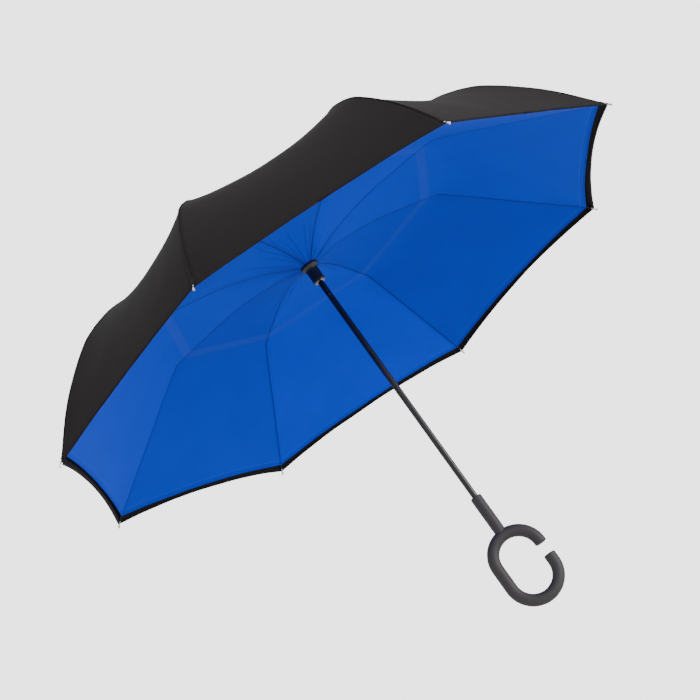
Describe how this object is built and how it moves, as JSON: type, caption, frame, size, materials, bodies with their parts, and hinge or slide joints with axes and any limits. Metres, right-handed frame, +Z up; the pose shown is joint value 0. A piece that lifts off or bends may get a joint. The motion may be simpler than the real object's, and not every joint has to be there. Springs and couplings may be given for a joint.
{
  "type": "inverted stick umbrella",
  "caption": "Reverse-folding stick umbrella, black outer canopy over a blue inner one, with a sliding runner, hinged struts and ribs, metal tips and a C-shaped handle.",
  "frame": {"origin": "the handle's lowest point, on the shaft's axis", "axes": "+Z up the shaft towards the cap, +X towards the gap in the C-shaped handle"},
  "size_m": [0.9844, 0.9844, 0.757],
  "materials": {
    "black_plastic": "satin moulded nylon",
    "soft_grip": "soft-touch coating",
    "shaft_metal": "black gloss enamel",
    "steel": "bright nickel plate",
    "black_steel": "black electrophoretic coat",
    "black_fabric": "woven pongee",
    "blue_fabric": "woven pongee"
  },
  "bodies": {
    "shaft_assembly": {"shaft": "shaft_metal", "handle": "soft_grip", "top_notch": "black_plastic", "notch_wire": "steel", "top_cap": "black_plastic", "outer_crown": "black_fabric"},
    "runner": {"runner": "black_plastic", "runner_wire": "steel", "inner_crown": "blue_fabric"},
    "spring_catch": {"spring_catch": "steel"},
    "upper_strut_1": {"upper_strut_1": "black_steel"},
    "lower_strut_1": {"lower_strut_1": "black_steel"},
    "rib_1": {"rib_1": "black_steel", "tip_1": "steel", "outer_skirt_1": "black_fabric", "inner_skirt_1": "blue_fabric"},
    "upper_strut_2": {"upper_strut_2": "black_steel"},
    "lower_strut_2": {"lower_strut_2": "black_steel"},
    "rib_2": {"rib_2": "black_steel", "tip_2": "steel", "outer_skirt_2": "black_fabric", "inner_skirt_2": "blue_fabric"},
    "upper_strut_3": {"upper_strut_3": "black_steel"},
    "lower_strut_3": {"lower_strut_3": "black_steel"},
    "rib_3": {"rib_3": "black_steel", "tip_3": "steel", "outer_skirt_3": "black_fabric", "inner_skirt_3": "blue_fabric"},
    "upper_strut_4": {"upper_strut_4": "black_steel"},
    "lower_strut_4": {"lower_strut_4": "black_steel"},
    "rib_4": {"rib_4": "black_steel", "tip_4": "steel", "outer_skirt_4": "black_fabric", "inner_skirt_4": "blue_fabric"},
    "upper_strut_5": {"upper_strut_5": "black_steel"},
    "lower_strut_5": {"lower_strut_5": "black_steel"},
    "rib_5": {"rib_5": "black_steel", "tip_5": "steel", "outer_skirt_5": "black_fabric", "inner_skirt_5": "blue_fabric"},
    "upper_strut_6": {"upper_strut_6": "black_steel"},
    "lower_strut_6": {"lower_strut_6": "black_steel"},
    "rib_6": {"rib_6": "black_steel", "tip_6": "steel", "outer_skirt_6": "black_fabric", "inner_skirt_6": "blue_fabric"},
    "upper_strut_7": {"upper_strut_7": "black_steel"},
    "lower_strut_7": {"lower_strut_7": "black_steel"},
    "rib_7": {"rib_7": "black_steel", "tip_7": "steel", "outer_skirt_7": "black_fabric", "inner_skirt_7": "blue_fabric"},
    "upper_strut_8": {"upper_strut_8": "black_steel"},
    "lower_strut_8": {"lower_strut_8": "black_steel"},
    "rib_8": {"rib_8": "black_steel", "tip_8": "steel", "outer_skirt_8": "black_fabric", "inner_skirt_8": "blue_fabric"}
  },
  "joints": [
    {"name": "runner_slide", "type": "slide", "parent": "shaft_assembly", "child": "runner", "axis": [0, 0, -1], "range_m": [0, 0.4264], "deforming": ["outer_skirt_1", "inner_skirt_1", "outer_skirt_2", "inner_skirt_2", "outer_skirt_3", "inner_skirt_3", "outer_skirt_4", "inner_skirt_4", "outer_skirt_5", "inner_skirt_5", "outer_skirt_6", "inner_skirt_6", "outer_skirt_7", "inner_skirt_7", "outer_skirt_8", "inner_skirt_8", "outer_crown", "inner_crown"]},
    {"name": "catch_press", "type": "hinge", "parent": "shaft_assembly", "child": "spring_catch", "pos_m": [0, 0, 0.562], "axis": [1, 0, 0], "range_deg": [-3, 0], "stiffness_Nm_per_rad": 0.6},
    {"name": "upper_hinge_1", "type": "hinge", "parent": "shaft_assembly", "child": "upper_strut_1", "pos_m": [0.01282, -0.00217, 0.737], "axis": [-0.3827, -0.9239, 0], "range_deg": [-81.72, 0]},
    {"name": "lower_hinge_1", "type": "hinge", "parent": "runner", "child": "lower_strut_1", "pos_m": [0.0106, -0.00753, 0.69], "axis": [-0.3827, -0.9239, 0], "range_deg": [0, 80.47]},
    {"name": "elbow_1", "type": "hinge", "parent": "lower_strut_1", "child": "rib_1", "pos_m": [0.23282, -0.09644, 0.692], "axis": [-0.3827, -0.9239, 0], "range_deg": [0, 35.24]},
    {"name": "upper_hinge_2", "type": "hinge", "parent": "shaft_assembly", "child": "upper_strut_2", "pos_m": [0.0106, 0.00753, 0.737], "axis": [0.3827, -0.9239, 0], "range_deg": [-81.72, 0]},
    {"name": "lower_hinge_2", "type": "hinge", "parent": "runner", "child": "lower_strut_2", "pos_m": [0.01282, 0.00217, 0.69], "axis": [0.3827, -0.9239, 0], "range_deg": [0, 80.47]},
    {"name": "elbow_2", "type": "hinge", "parent": "lower_strut_2", "child": "rib_2", "pos_m": [0.23282, 0.09644, 0.692], "axis": [0.3827, -0.9239, 0], "range_deg": [0, 35.24]},
    {"name": "upper_hinge_3", "type": "hinge", "parent": "shaft_assembly", "child": "upper_strut_3", "pos_m": [0.00217, 0.01282, 0.737], "axis": [0.9239, -0.3827, 0], "range_deg": [-81.72, 0]},
    {"name": "lower_hinge_3", "type": "hinge", "parent": "runner", "child": "lower_strut_3", "pos_m": [0.00753, 0.0106, 0.69], "axis": [0.9239, -0.3827, 0], "range_deg": [0, 80.47]},
    {"name": "elbow_3", "type": "hinge", "parent": "lower_strut_3", "child": "rib_3", "pos_m": [0.09644, 0.23282, 0.692], "axis": [0.9239, -0.3827, 0], "range_deg": [0, 35.24]},
    {"name": "upper_hinge_4", "type": "hinge", "parent": "shaft_assembly", "child": "upper_strut_4", "pos_m": [-0.00753, 0.0106, 0.737], "axis": [0.9239, 0.3827, 0], "range_deg": [-81.72, 0]},
    {"name": "lower_hinge_4", "type": "hinge", "parent": "runner", "child": "lower_strut_4", "pos_m": [-0.00217, 0.01282, 0.69], "axis": [0.9239, 0.3827, 0], "range_deg": [0, 80.47]},
    {"name": "elbow_4", "type": "hinge", "parent": "lower_strut_4", "child": "rib_4", "pos_m": [-0.09644, 0.23282, 0.692], "axis": [0.9239, 0.3827, 0], "range_deg": [0, 35.24]},
    {"name": "upper_hinge_5", "type": "hinge", "parent": "shaft_assembly", "child": "upper_strut_5", "pos_m": [-0.01282, 0.00217, 0.737], "axis": [0.3827, 0.9239, 0], "range_deg": [-81.72, 0]},
    {"name": "lower_hinge_5", "type": "hinge", "parent": "runner", "child": "lower_strut_5", "pos_m": [-0.0106, 0.00753, 0.69], "axis": [0.3827, 0.9239, 0], "range_deg": [0, 80.47]},
    {"name": "elbow_5", "type": "hinge", "parent": "lower_strut_5", "child": "rib_5", "pos_m": [-0.23282, 0.09644, 0.692], "axis": [0.3827, 0.9239, 0], "range_deg": [0, 35.24]},
    {"name": "upper_hinge_6", "type": "hinge", "parent": "shaft_assembly", "child": "upper_strut_6", "pos_m": [-0.0106, -0.00753, 0.737], "axis": [-0.3827, 0.9239, 0], "range_deg": [-81.72, 0]},
    {"name": "lower_hinge_6", "type": "hinge", "parent": "runner", "child": "lower_strut_6", "pos_m": [-0.01282, -0.00217, 0.69], "axis": [-0.3827, 0.9239, 0], "range_deg": [0, 80.47]},
    {"name": "elbow_6", "type": "hinge", "parent": "lower_strut_6", "child": "rib_6", "pos_m": [-0.23282, -0.09644, 0.692], "axis": [-0.3827, 0.9239, 0], "range_deg": [0, 35.24]},
    {"name": "upper_hinge_7", "type": "hinge", "parent": "shaft_assembly", "child": "upper_strut_7", "pos_m": [-0.00217, -0.01282, 0.737], "axis": [-0.9239, 0.3827, 0], "range_deg": [-81.72, 0]},
    {"name": "lower_hinge_7", "type": "hinge", "parent": "runner", "child": "lower_strut_7", "pos_m": [-0.00753, -0.0106, 0.69], "axis": [-0.9239, 0.3827, 0], "range_deg": [0, 80.47]},
    {"name": "elbow_7", "type": "hinge", "parent": "lower_strut_7", "child": "rib_7", "pos_m": [-0.09644, -0.23282, 0.692], "axis": [-0.9239, 0.3827, 0], "range_deg": [0, 35.24]},
    {"name": "upper_hinge_8", "type": "hinge", "parent": "shaft_assembly", "child": "upper_strut_8", "pos_m": [0.00753, -0.0106, 0.737], "axis": [-0.9239, -0.3827, 0], "range_deg": [-81.72, 0]},
    {"name": "lower_hinge_8", "type": "hinge", "parent": "runner", "child": "lower_strut_8", "pos_m": [0.00217, -0.01282, 0.69], "axis": [-0.9239, -0.3827, 0], "range_deg": [0, 80.47]},
    {"name": "elbow_8", "type": "hinge", "parent": "lower_strut_8", "child": "rib_8", "pos_m": [0.09644, -0.23282, 0.692], "axis": [-0.9239, -0.3827, 0], "range_deg": [0, 35.24]}
  ],
  "couplings": [
    {"joint": "upper_hinge_1", "follows": "runner_slide", "rad_per_m": -3.3428},
    {"joint": "lower_hinge_1", "follows": "runner_slide", "rad_per_m": 3.2918},
    {"joint": "elbow_1", "follows": "runner_slide", "rad_per_m": 1.4403},
    {"joint": "upper_hinge_2", "follows": "runner_slide", "rad_per_m": -3.3428},
    {"joint": "lower_hinge_2", "follows": "runner_slide", "rad_per_m": 3.2918},
    {"joint": "elbow_2", "follows": "runner_slide", "rad_per_m": 1.4403},
    {"joint": "upper_hinge_3", "follows": "runner_slide", "rad_per_m": -3.3428},
    {"joint": "lower_hinge_3", "follows": "runner_slide", "rad_per_m": 3.2918},
    {"joint": "elbow_3", "follows": "runner_slide", "rad_per_m": 1.4403},
    {"joint": "upper_hinge_4", "follows": "runner_slide", "rad_per_m": -3.3428},
    {"joint": "lower_hinge_4", "follows": "runner_slide", "rad_per_m": 3.2918},
    {"joint": "elbow_4", "follows": "runner_slide", "rad_per_m": 1.4403},
    {"joint": "upper_hinge_5", "follows": "runner_slide", "rad_per_m": -3.3428},
    {"joint": "lower_hinge_5", "follows": "runner_slide", "rad_per_m": 3.2918},
    {"joint": "elbow_5", "follows": "runner_slide", "rad_per_m": 1.4403},
    {"joint": "upper_hinge_6", "follows": "runner_slide", "rad_per_m": -3.3428},
    {"joint": "lower_hinge_6", "follows": "runner_slide", "rad_per_m": 3.2918},
    {"joint": "elbow_6", "follows": "runner_slide", "rad_per_m": 1.4403},
    {"joint": "upper_hinge_7", "follows": "runner_slide", "rad_per_m": -3.3428},
    {"joint": "lower_hinge_7", "follows": "runner_slide", "rad_per_m": 3.2918},
    {"joint": "elbow_7", "follows": "runner_slide", "rad_per_m": 1.4403},
    {"joint": "upper_hinge_8", "follows": "runner_slide", "rad_per_m": -3.3428},
    {"joint": "lower_hinge_8", "follows": "runner_slide", "rad_per_m": 3.2918},
    {"joint": "elbow_8", "follows": "runner_slide", "rad_per_m": 1.4403}
  ]
}
